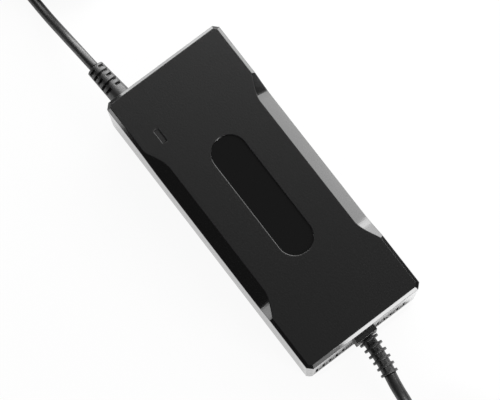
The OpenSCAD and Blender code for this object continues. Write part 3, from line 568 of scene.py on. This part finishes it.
# Indicator
# A smoked polycarbonate strip pressed into an opening of the top. It stands over a red and a
# green diode on a black nylon spacer, and is dark while neither is lit.
def grained(name, dark, light, grain, rough, depth, **principled):
    """A finish with one noise, whose grain is in millimetres. The colour runs from dark to light
    and the roughness from its first to its second value as the noise goes from 0.3 to 0.7, and
    the same noise times the depth in millimetres is the relief."""
    material, shader = new_material(name, **principled)
    place = add_node(material, "ShaderNodeTexCoord")
    noise = add_node(
        material,
        "ShaderNodeTexNoise",
        [("Vector", place.outputs["Object"])],
        Scale=1000 / grain,
        Detail=3,
    )
    spread = add_node(
        material, "ShaderNodeMapRange", [("Value", noise.outputs["Fac"])], From_Min=0.3, From_Max=0.7
    )
    tint = add_node(
        material,
        "ShaderNodeMixRGB",
        [("Fac", spread.outputs[0])],
        Color1=linear(dark),
        Color2=linear(light),
    )
    gloss = add_node(
        material,
        "ShaderNodeMapRange",
        [("Value", spread.outputs[0])],
        To_Min=rough[0],
        To_Max=rough[1],
    )
    bump = add_node(
        material,
        "ShaderNodeBump",
        [("Height", spread.outputs[0])],
        Strength=0.6,
        Distance=depth / 1000,
    )
    edge = add_node(
        material, "ShaderNodeBevel", [("Normal", bump.outputs[0])], Radius=0.0002, samples=4
    )
    feed(material, shader, Base_Color=tint, Roughness=gloss, Normal=edge)
    return material


window_smoked = grained(
    "polycarbonate_smoked",
    "#484848",
    "#545454",
    0.8,
    (0.08, 0.16),
    0.004,
    IOR=1.585,
    Transmission_Weight=0.6,
)
dress(window_smoked, "indicator_window")
for colour, dark, light in (("red", "#7d1408", "#a01c0c"), ("green", "#0c5a20", "#147a2c")):
    resin = grained(
        "epoxy_tinted_" + colour, dark, light, 1.5, (0.08, 0.18), 0.002, Transmission_Weight=0.4
    )
    dress(resin, colour + "_led")
# Glass-filled nylon, moulded: near black with a dull, faintly mottled skin
black_nylon = grained("nylon_moulded", "#121212", "#1c1c1c", 0.7, (0.45, 0.6), 0.01, IOR=1.53)
dress(black_nylon, "led_spacer")

# Strain reliefs
# Flexible PVC moulded over each lead, with a collar that the two shells clamp. It is softer and
# greyer than the case, with an even satin skin and dark gaps between its fins and slots.
relief_pvc = grained(
    "pvc_moulded_soft",
    "#181818",
    "#202020",
    0.5,
    (0.42, 0.52),
    0.004,
    IOR=1.52,
    Specular_IOR_Level=0.9,
)
dress(relief_pvc, "mains_strain_relief")

# The output lead's relief: a sleeve that tapers from a solid shoulder, cut by five rows of slots.
# The rows alternate between one wide slot and two narrow ones, above and below.
RELIEF_LEAN = math.radians(5)
SLOT_ROWS = (0.0093, 0.0126, 0.0159, 0.0190, 0.0221)
SLOT_FLOOR = 0.0029
FLANGE_R = 0.0056
NECK_R = 0.0042
SHOULDER_R = 0.0063
relief_from = np.array([-0.0848, OUTPUT_Y, 0.018])
# Inside the wall stand the flange and the neck. The shoulder draws in by 0.7 mm, the sleeve then
# tapers by 0.8 mm, and its tip is rounded.
reach = np.arange(-0.0041, 0.02435, 0.0001)
shoulder = SHOULDER_R - 0.0007 * ease(reach, 0.0008, 0.0045)
taper = shoulder - 0.0008 * np.clip((reach - 0.0045) / 0.0195, 0, 1)
rounded = 0.0007 * np.clip((reach - 0.0236) / 0.0007, 0, 1) ** 3
inner = np.where(reach < -0.0025, FLANGE_R, NECK_R)
radius = np.where(reach < 0, inner, taper - rounded)[:, None]
# A slot is 1.4 mm long. Round the sleeve it runs between two heights on the unit circle: a wide
# one over the whole crown, a narrow one on either side of it.
around = np.linspace(0, 2 * np.pi, 96, endpoint=False)[None, :]
upward = np.abs(np.sin(around))
wide = ease(upward, 0.2, 0.3)
pair = ease(upward, 0.40, 0.50) * (1 - ease(upward, 0.94, 0.97))
cut = np.zeros((len(reach), 96))
for row, at in enumerate(SLOT_ROWS):
    gap = 1 - ease(np.abs(reach - at), 0.0006, 0.0008)
    facing = wide if row % 2 else pair
    cut = np.maximum(cut, gap[:, None] * facing)
radius = radius - cut * (radius - SLOT_FLOOR)
# The sleeve leans towards -Y with its lead, from the end wall on
lean = np.where(reach > 0, RELIEF_LEAN, 0)
spine = relief_from + np.stack([-reach * np.cos(lean), -reach * np.sin(lean), 0 * reach], 1)
sideways = np.stack([np.sin(lean), -np.cos(lean), 0 * reach], 1)
rings = spine[:, None] + radius[..., None] * (
    sideways[:, None] * np.cos(around)[..., None] + np.array([0, 0, 1]) * np.sin(around)[..., None]
)
relief = loft("output_relief", rings)
relief.data.materials.append(relief_pvc)
relief.parent = output_lead
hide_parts("output_strain_relief")

# Coil straps
# Two straps of woven nylon tape hold each coil. Each is drawn tight round the bundle of two by
# three turns, laps over itself on top and ends in a heat-cut edge.
STRAP_T = 0.0008
STRAP_W = 0.007
OVERLAP = 0.009


def strap(name, centre, radius, pitch, wire, low, turn, angle):
    """A strap round a coil at an angle. Its middle line is a rounded rectangle about the bundle,
    whose corners are arcs round the outer turns, and past one full round it rises by a little
    over its thickness. Its section is a superellipse of power 5, its width by its thickness."""
    r = wire / 2 + STRAP_T / 2
    side = pitch / 2
    tall = pitch
    lengths = np.array([2 * side, np.pi * r / 2, 2 * tall, np.pi * r / 2] * 2)
    stops = np.concatenate([[0], np.cumsum(lengths)])
    whole = stops[-1]
    s = np.arange(0, whole + OVERLAP, 0.0004)
    t = s % whole
    part = np.clip(np.searchsorted(stops, t, side="right") - 1, 0, 7)
    run = (t - stops[part]) / lengths[part]
    heading = np.pi / 2 - (part // 2 + np.where(part % 2 == 1, run, 0)) * np.pi / 2
    corner_x = np.array([side, side, side, side, -side, -side, -side, -side])
    corner_z = np.array([tall, tall, -tall, -tall, -tall, -tall, tall, tall])
    begin_x = np.array([-side, side, side, side, side, -side, -side, -side])
    begin_z = np.array([tall, tall, tall, -tall, -tall, -tall, -tall, tall])
    straight = part % 2 == 0
    x = np.where(straight, begin_x[part] + run * (corner_x - begin_x)[part], corner_x[part])
    z = np.where(straight, begin_z[part] + run * (corner_z - begin_z)[part], begin_z[part])
    out = r + STRAP_T * 1.02 * ease(s, whole - 0.002, whole + 0.002)
    x = x + out * np.cos(heading)
    z = z + out * np.sin(heading)
    a = np.linspace(0, 2 * np.pi, 28, endpoint=False)
    power = 2 / 5
    across = STRAP_W / 2 * np.sign(np.cos(a)) * np.abs(np.cos(a)) ** power
    thick = STRAP_T / 2 * np.sign(np.sin(a)) * np.abs(np.sin(a)) ** power
    radial = radius + x[:, None] + thick * np.cos(heading)[:, None]
    height = low + pitch + z[:, None] + thick * np.sin(heading)[:, None]
    cosine = math.cos(math.radians(angle))
    sine = math.sin(math.radians(angle))
    rings = np.stack(
        [
            centre[0] + turn * (radial * cosine - across * sine),
            centre[1] + radial * sine + across * cosine,
            height + 0 * across,
        ],
        -1,
    )
    return loft(name, rings if turn < 0 else rings[:, ::-1])


# Nylon tape, plain woven: dull black, with ribs of weft drawn 1.6 mm apart, coarser than the real
# ones, and crossed by the warp. Its colour is painted shade, darker in the weave's hollows and
# lighter on its crests
tape, shader = new_material("nylon_tape_woven", Roughness=0.8, Sheen_Weight=0.25)
uv = add_node(tape, "ShaderNodeTexCoord")
ribs = add_node(
    tape, "ShaderNodeTexWave", [("Vector", uv.outputs["UV"])], Scale=200, bands_direction="Y"
)
warp = add_node(
    tape, "ShaderNodeTexWave", [("Vector", uv.outputs["UV"])], Scale=7, bands_direction="X"
)
woven = add_node(
    tape, "ShaderNodeMath", [(0, ribs.outputs["Fac"]), (1, warp.outputs["Fac"])], operation="MULTIPLY"
)
# Painted shade: darker in the weave's hollows, lighter on its crests
tint = add_node(
    tape,
    "ShaderNodeMixRGB",
    [("Fac", woven.outputs[0])],
    Color1=linear("#101010"),
    Color2=linear("#2a2a2a"),
)
bump = add_node(
    tape, "ShaderNodeBump", [("Height", woven.outputs[0])], Strength=0.7, Distance=0.0001
)
feed(tape, shader, Base_Color=tint, Normal=bump)
for coil, lead, centre, outer, pitch, wire, low, turn in (
    ("mains", mains_lead, mains_coil_centre, MAINS_OUTER, MAINS_PITCH, MAINS_D, MAINS_LOW, 1),
    (
        "output",
        output_lead,
        output_coil_centre,
        OUTPUT_OUTER,
        OUTPUT_PITCH,
        OUTPUT_D,
        OUTPUT_LOW,
        -1,
    ),
):
    middle = outer - pitch / 2
    for side, angle in (("near", 20), ("far", 160)):
        piece = strap(f"{coil}_strap_{side}", centre, middle, pitch, wire, low, turn, angle)
        piece.data.materials.append(tape)
        piece.parent = lead
        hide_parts(coil + "_coil_ties")

# Mains plug
# Two-pin moulded plug, soft PVC over the pins' carrier. Its body is flat and widens from the
# lead's rings to a grip with ribs at the sides, and the roots of its nickelled pins are sleeved.
PLUG_Z = 0.0068
LEAD_TO_PLUG = 0.040
plug_axis = (math.cos(mains_tail_heading), math.sin(mains_tail_heading))
leave = math.radians(MAINS_EXIT)
plug_back = np.array(
    [
        mains_coil_centre[0] + MAINS_OUTER * math.cos(leave) + LEAD_TO_PLUG * plug_axis[0],
        mains_coil_centre[1] + MAINS_OUTER * math.sin(leave) + LEAD_TO_PLUG * plug_axis[1],
        PLUG_Z,
    ]
)


def superellipse_body(name, stations, half_width, half_thick, power, dent):
    """A body along the plug's axis. Its section at a station is a superellipse of the given power:
    |y / half width|^p + |z / half thickness|^p = 1. Its sides are pressed in by dent |cos|^8."""
    a = np.linspace(0, 2 * np.pi, 72, endpoint=False)
    c = np.cos(a)
    s = np.sin(a)
    p = 2 / power[:, None]
    y = half_width[:, None] * np.sign(c) * np.abs(c) ** p
    y = y - dent[:, None] * np.sign(c) * np.abs(c) ** 8
    z = half_thick[:, None] * np.sign(s) * np.abs(s) ** p
    x = stations[:, None]
    rings = np.stack(
        [
            plug_back[0] + plug_axis[0] * x - plug_axis[1] * y,
            plug_back[1] + plug_axis[1] * x + plug_axis[0] * y,
            plug_back[2] + z,
        ],
        -1,
    )
    return loft(name, rings)


# In millimetres from the plug's back: three rings, then the body, which widens and thickens in two
# steps and draws in at its face. The ribs of the grip are pressed in every 3 mm along its sides.
ring_x = np.concatenate([np.array([0.4, 0.5, 1.7, 1.8]) + 2.4 * i for i in range(3)])
ring_w = np.concatenate([np.array([4.05, 4.75, 4.75, 4.05]) + 0.2 * i for i in range(3)])
body_x = np.concatenate([[7.4, 7.9], np.arange(8.4, 42.1, 0.25), [42.3, 42.6, 42.85, 43.0]])
body_w = 4.4 + 1.2 * ease(body_x, 7.4, 8.4) + 7.4 * ease(body_x, 8, 27)
body_w = body_w - 1.6 * ease(body_x, 42, 43.4)
body_h = 4.4 + 0.7 * ease(body_x, 7.4, 8.4) + 1.7 * ease(body_x, 8, 21)
body_h = body_h - 1.2 * ease(body_x, 42, 43.4)
grip = 0.55 * np.maximum(0, np.cos((body_x - 28) * 2 * np.pi / 3)) * ease(body_x, 26, 27)
grip = grip * (1 - ease(body_x, 38, 39))
station = np.concatenate([[0.0], ring_x, body_x]) / 1000
half_w = np.concatenate([[4.05], ring_w, body_w]) / 1000
half_h = np.concatenate([[4.05], ring_w, body_h]) / 1000
bluntness = 2 + 2.2 * ease(station, 0.008, 0.024)
pressed = np.concatenate([np.zeros(1 + len(ring_x)), grip]) / 1000
plug = superellipse_body("mains_plug_shell", station, half_w, half_h, bluntness, pressed)
# PVC, moulded: black with a low, even sheen and a fine spark texture
plug_pvc = grained("pvc_moulded_hard", "#161616", "#1f1f1f", 0.35, (0.38, 0.5), 0.012, IOR=1.53)
plug.data.materials.append(plug_pvc)
plug.parent = mains_lead
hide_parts("mains_plug_body")
dress(plug_pvc, "output_plug_body")
# Polyamide sleeve on the pins: dark grey, smoother than the plug
dress(
    grained("polyamide_sleeve", "#1e1f22", "#282a2e", 0.6, (0.3, 0.4), 0.004, IOR=1.53),
    "mains_pin_sleeves",
)
# Nickel plate on turned brass: warm bright metal with faint marks of the tool and of use
nickel = grained("nickel_plate_turned", "#b9b5aa", "#d0ccc2", 0.4, (0.14, 0.3), 0.002, Metallic=1.0)
dress(nickel, "mains_plug_pins", "output_plug_barrel")

# Screws
# Self-tapping and machine screws of zinc-plated steel, pressed and rolled. The plate is bright,
# slightly blue, and uneven in its gloss.
zinc = grained("zinc_plated_steel", "#a9adb2", "#c3c6c8", 0.5, (0.22, 0.42), 0.004, Metallic=1.0)
dress(zinc, "case_screws", "board_screws", "heat_sink_screws")

# Circuit board
# Glass-epoxy laminate, etched and coated with green solder mask. The copper left under the mask
# shows as paler fields with dark gaps between them. A polyester sheet lies under the board.
mask, shader = new_material("solder_mask_on_laminate", IOR=1.55)
place = add_node(mask, "ShaderNodeTexCoord")
copper = add_node(
    mask,
    "ShaderNodeTexVoronoi",
    [("Vector", place.outputs["Object"])],
    Scale=110,
    feature="DISTANCE_TO_EDGE",
    distance="CHEBYCHEV",
)
field = add_node(
    mask, "ShaderNodeMapRange", [("Value", copper.outputs["Distance"])], From_Min=0.04, From_Max=0.07
)
tint = add_node(
    mask,
    "ShaderNodeMixRGB",
    [("Fac", field.outputs[0])],
    Color1=linear("#0f3a1c"),
    Color2=linear("#1f6a34"),
)
gloss = add_node(
    mask, "ShaderNodeMapRange", [("Value", field.outputs[0])], To_Min=0.35, To_Max=0.22
)
bump = add_node(
    mask, "ShaderNodeBump", [("Height", field.outputs[0])], Strength=0.6, Distance=0.00004
)
feed(mask, shader, Base_Color=tint, Roughness=gloss, Normal=bump)
dress(mask, "main_board")
dress(
    grained(
        "polyester_film", "#d8cfae", "#e6dfc4", 4, (0.2, 0.35), 0.01, Transmission_Weight=0.35
    ),
    "insulating_sheet",
)

# Components with leads
# Bodies of epoxy, glass or sleeved aluminium with bright tinned leads, caps or tabs, soldered to
# the board. One solid holds both, so the metal begins where the body ends along one axis.
TINNED = "#c2c2bd"
TINNED_ROUGH = 0.28


def leaded(name, axis, low, high, dark, light, rough, **principled):
    """Between low and high millimetres on an Object axis, the body's colour under a noise. Beyond
    them, metal: the mask is 1 where |place - middle| exceeds half the body's length."""
    material, shader = new_material(name, **principled)
    place = add_node(material, "ShaderNodeTexCoord")
    axes = add_node(material, "ShaderNodeSeparateXYZ", [("Vector", place.outputs["Object"])])
    offset = add_node(
        material,
        "ShaderNodeMath",
        [(0, axes.outputs[axis]), (1, (low + high) / 2000)],
        operation="SUBTRACT",
    )
    reach = add_node(material, "ShaderNodeMath", [(0, offset.outputs[0])], operation="ABSOLUTE")
    bare = add_node(
        material,
        "ShaderNodeMath",
        [(0, reach.outputs[0]), (1, (high - low) / 2000)],
        operation="GREATER_THAN",
    )
    noise = add_node(
        material, "ShaderNodeTexNoise", [("Vector", place.outputs["Object"])], Scale=1500, Detail=2
    )
    body = add_node(
        material,
        "ShaderNodeMixRGB",
        [("Fac", noise.outputs["Fac"])],
        Color1=linear(dark),
        Color2=linear(light),
    )
    tint = add_node(
        material,
        "ShaderNodeMixRGB",
        [("Fac", bare.outputs[0]), ("Color1", body.outputs[0])],
        Color2=linear(TINNED),
    )
    skin = add_node(
        material,
        "ShaderNodeMapRange",
        [("Value", noise.outputs["Fac"])],
        To_Min=rough - 0.08,
        To_Max=rough + 0.08,
    )
    gloss = add_node(
        material,
        "ShaderNodeMix",
        [("Factor", bare.outputs[0]), ("A", skin.outputs[0])],
        B=TINNED_ROUGH,
    )
    bump = add_node(
        material, "ShaderNodeBump", [("Height", noise.outputs["Fac"])], Strength=0.4, Distance=0.00002
    )
    feed(material, shader, Base_Color=tint, Roughness=gloss, Metallic=bare, Normal=bump)
    return material


# Low-pressure moulded epoxy: black with a dull, very fine texture
dress(
    leaded("epoxy_package", "Z", 12.8, 22.0, "#131313", "#1d1d1d", 0.55),
    "power_transistor",
    "output_diode",
)
dress(leaded("epoxy_bridge", "Z", 11.5, 60, "#151515", "#202020", 0.5), "bridge_rectifier")
dress(leaded("epoxy_chip", "Y", 12.8, 19.2, "#121212", "#1b1b1b", 0.5), "control_chip")
dress(leaded("epoxy_white_chip", "Y", -25.6, -19.2, "#d4d4cc", "#e0e0da", 0.5), "optocoupler")
# Glass tube between nickelled caps
dress(
    leaded("glass_fuse", "X", 53.9, 63.9, "#dfe6e4", "#eef2f0", 0.1, Transmission_Weight=0.85),
    "mains_fuse",
)
dress(
    grained("tinned_clip", "#b4b4b0", "#c8c8c4", 0.5, (0.22, 0.36), 0.003, Metallic=1.0),
    "fuse_clips",
)
# Shrink sleeve over a drawn aluminium can, whose scored top is bare
dress(leaded("sleeve_black", "Z", 8.3, 34.3, "#10141c", "#181d28", 0.2), "bulk_capacitor")
dress(leaded("sleeve_blue", "Z", 8.3, 28.3, "#152f5c", "#1c3c72", 0.2), "output_capacitors")

# Coated components
# Discs dipped in resin or lacquer and a film capacitor in a potted box. Dipping leaves a thick,
# glossy, slightly wavy skin.
for node, finish, dark, light, grain, rough in (
    ("inrush_thermistor", "lacquer_dipped_green", "#152418", "#1f3324", 2.5, (0.25, 0.4)),
    ("y_capacitor", "lacquer_dipped_blue", "#2a5fa8", "#3672c0", 2.5, (0.2, 0.35)),
    ("x_capacitor", "polyester_box", "#dfb030", "#e9bd40", 0.8, (0.3, 0.42)),
):
    dress(grained(finish, dark, light, grain, rough, 0.03), node)


# Chokes and transformer
# Coated ring cores wound by hand with enamelled copper wire, and a ferrite core round a nylon
# bobbin, whose windings are bound in yellow polyester tape.
def wound_copper(name, middle, turns):
    """Wire round a ring that stands across X. Its strands follow the angle round the ring's middle:
    the ridge is the sine of that angle times the number of turns. The colour is painted shade, dark
    brown in the grooves between the turns and copper on their crests."""
    material, shader = new_material(name, Metallic=0.8)
    place = add_node(material, "ShaderNodeTexCoord")
    centre = add_node(
        material,
        "ShaderNodeMapping",
        [("Vector", place.outputs["Object"])],
        Location=(0, -middle[0] / 1000, -middle[1] / 1000),
    )
    axes = add_node(material, "ShaderNodeSeparateXYZ", [("Vector", centre.outputs[0])])
    angle = add_node(
        material,
        "ShaderNodeMath",
        [(0, axes.outputs["Z"]), (1, axes.outputs["Y"])],
        operation="ARCTAN2",
    )
    count = add_node(
        material, "ShaderNodeMath", [(0, angle.outputs[0]), (1, turns)], operation="MULTIPLY"
    )
    ridge = add_node(material, "ShaderNodeMath", [(0, count.outputs[0])], operation="SINE")
    tint = add_node(
        material, "ShaderNodeMapRange", [("Value", ridge.outputs[0])], From_Min=-1, From_Max=1
    )
    # Painted shade: dark brown in the grooves between the turns, copper on their crests
    colour = add_node(
        material,
        "ShaderNodeMixRGB",
        [("Fac", tint.outputs[0])],
        Color1=linear("#5a2410"),
        Color2=linear("#b8642e"),
    )
    gloss = add_node(
        material, "ShaderNodeMapRange", [("Value", tint.outputs[0])], To_Min=0.4, To_Max=0.22
    )
    bump = add_node(
        material, "ShaderNodeBump", [("Height", tint.outputs[0])], Strength=0.8, Distance=0.0004
    )
    feed(material, shader, Base_Color=colour, Roughness=gloss, Normal=bump)
    return material


dress(wound_copper("copper_enamelled_filter", (1, 18.8), 60), "filter_choke_windings")
dress(wound_copper("copper_enamelled_output", (3, 17.8), 44), "output_choke_winding")
dress(
    grained("epoxy_coated_ferrite", "#47613f", "#56724c", 0.8, (0.35, 0.5), 0.02), "filter_choke_core"
)
dress(
    grained("painted_iron_powder", "#c9b02c", "#d8c03c", 0.6, (0.5, 0.65), 0.02), "output_choke_core"
)
# Sintered ferrite, ground at its faces: dark grey, granular, with a slight metallic glint
dress(grained("sintered_ferrite", "#26272a", "#383a3e", 0.4, (0.4, 0.6), 0.02), "transformer_core")
dress(black_nylon, "transformer_bobbin")
tape_yellow, shader = new_material("polyester_tape_wound", IOR=1.57)
place = add_node(tape_yellow, "ShaderNodeTexCoord")
laps = add_node(
    tape_yellow,
    "ShaderNodeTexWave",
    [("Vector", place.outputs["Object"])],
    Scale=75,
    bands_direction="Z",
    wave_profile="SAW",
)
tint = add_node(
    tape_yellow,
    "ShaderNodeMixRGB",
    [("Fac", laps.outputs["Fac"])],
    Color1=linear("#c99a1c"),
    Color2=linear("#dcb234"),
)
gloss = add_node(
    tape_yellow, "ShaderNodeMapRange", [("Value", laps.outputs["Fac"])], To_Min=0.2, To_Max=0.3
)
bump = add_node(
    tape_yellow, "ShaderNodeBump", [("Height", laps.outputs["Fac"])], Strength=0.5, Distance=0.00006
)
feed(tape_yellow, shader, Base_Color=tint, Roughness=gloss, Normal=bump)
dress(tape_yellow, "transformer_winding")

# Heat sinks
# Aluminium plate with its mill finish, sheared and bent. The rolls leave fine lines along it, drawn
# 0.3 mm apart. Grey silicone pads insulate the packages from it.
plate, shader = new_material("aluminium_mill_finish", Metallic=1.0)
place = add_node(plate, "ShaderNodeTexCoord")
stretch = add_node(
    plate, "ShaderNodeMapping", [("Vector", place.outputs["Object"])], Scale=(60, 3000, 3000)
)
lines = add_node(plate, "ShaderNodeTexNoise", [("Vector", stretch.outputs[0])], Scale=1, Detail=3)
tint = add_node(
    plate,
    "ShaderNodeMixRGB",
    [("Fac", lines.outputs["Fac"])],
    Color1=linear("#b8babc"),
    Color2=linear("#d4d6d8"),
)
gloss = add_node(
    plate, "ShaderNodeMapRange", [("Value", lines.outputs["Fac"])], To_Min=0.25, To_Max=0.45
)
bump = add_node(
    plate, "ShaderNodeBump", [("Height", lines.outputs["Fac"])], Strength=0.3, Distance=0.00002
)
feed(plate, shader, Base_Color=tint, Roughness=gloss, Normal=bump)
dress(plate, "primary_heat_sink", "secondary_heat_sink")
dress(grained("silicone_pad", "#8e949c", "#a2a8b0", 0.6, (0.6, 0.75), 0.01), "insulating_pads")

# Wires inside
# Stranded wires in extruded PVC, soldered to the board: brown from the mains lead, and red to the
# output lead.
dress(grained("wire_pvc_brown", "#4a2412", "#5a2e18", 1.5, (0.25, 0.38), 0.004), "mains_wires")
dress(grained("wire_pvc_red", "#8c1010", "#a01616", 1.5, (0.25, 0.38), 0.004), "output_wires")
